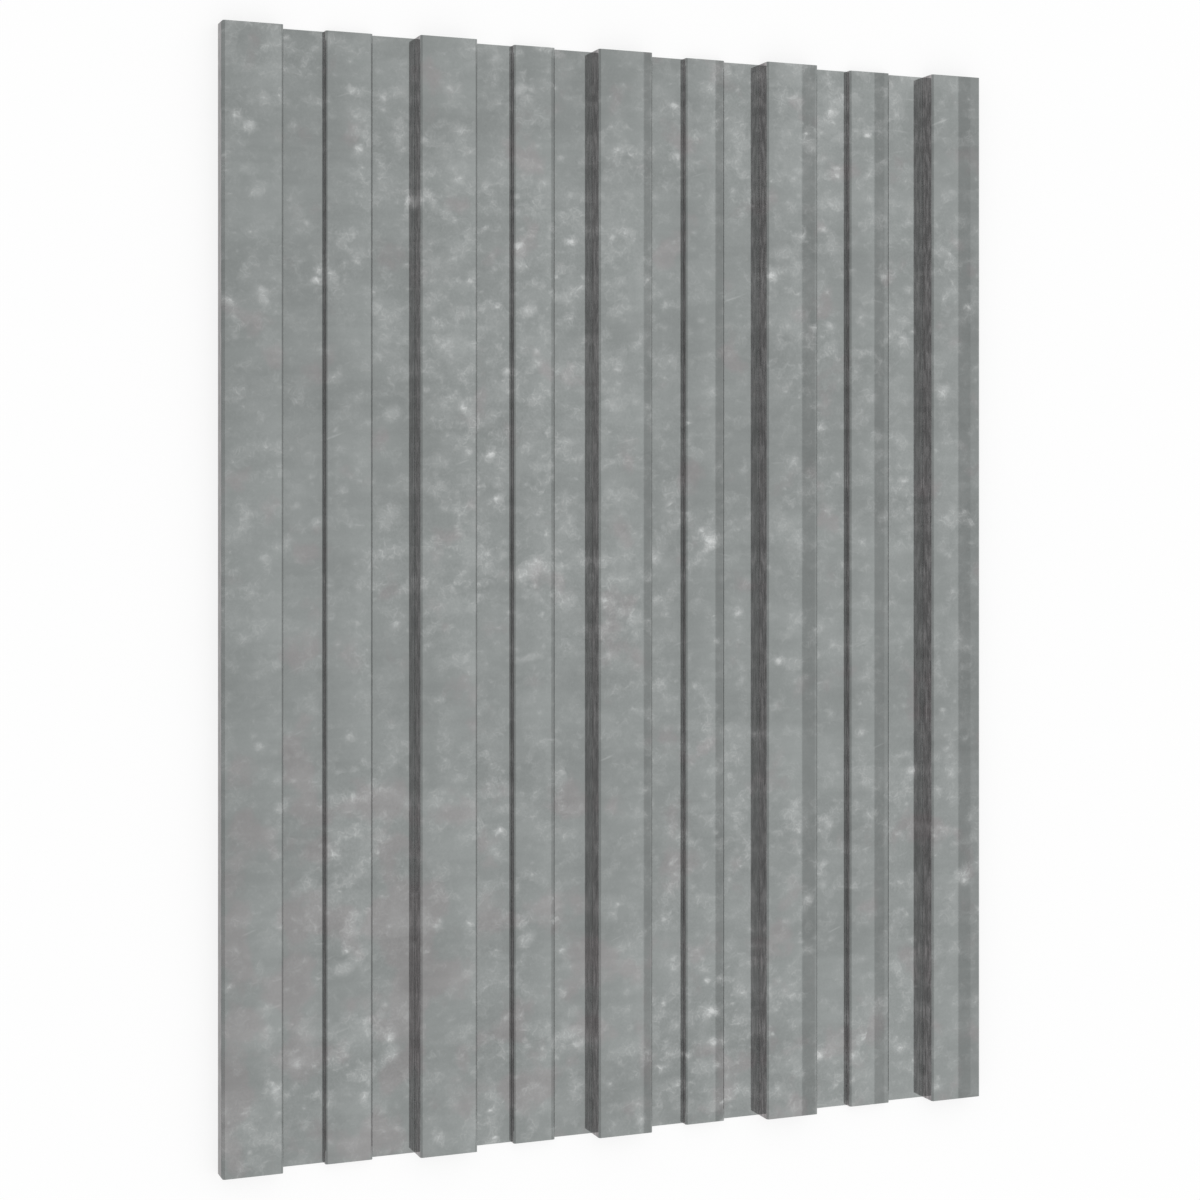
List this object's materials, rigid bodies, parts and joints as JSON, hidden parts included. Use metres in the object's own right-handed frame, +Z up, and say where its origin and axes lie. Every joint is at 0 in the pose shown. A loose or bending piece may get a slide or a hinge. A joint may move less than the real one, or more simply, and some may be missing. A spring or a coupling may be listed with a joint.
{
  "type": "corrugated metal sheet",
  "caption": "Flat-lying galvanised steel roofing sheet with square-shouldered high ribs and a low stiffening rib in each bay between them.",
  "frame": {"origin": "on the floor under the middle of the sheet, level with the underside of its valleys", "axes": "+X across the ribs, +Y along the ribs, +Z up out of the ribbed face"},
  "size_m": [0.45, 0.6, 0.012],
  "materials": {
    "galvanised_steel": "dull bright zinc with pale cloudy stains and faint warm patches"
  },
  "bodies": {
    "root": {"corrugated_sheet": "galvanised_steel"}
  },
  "joints": []
}
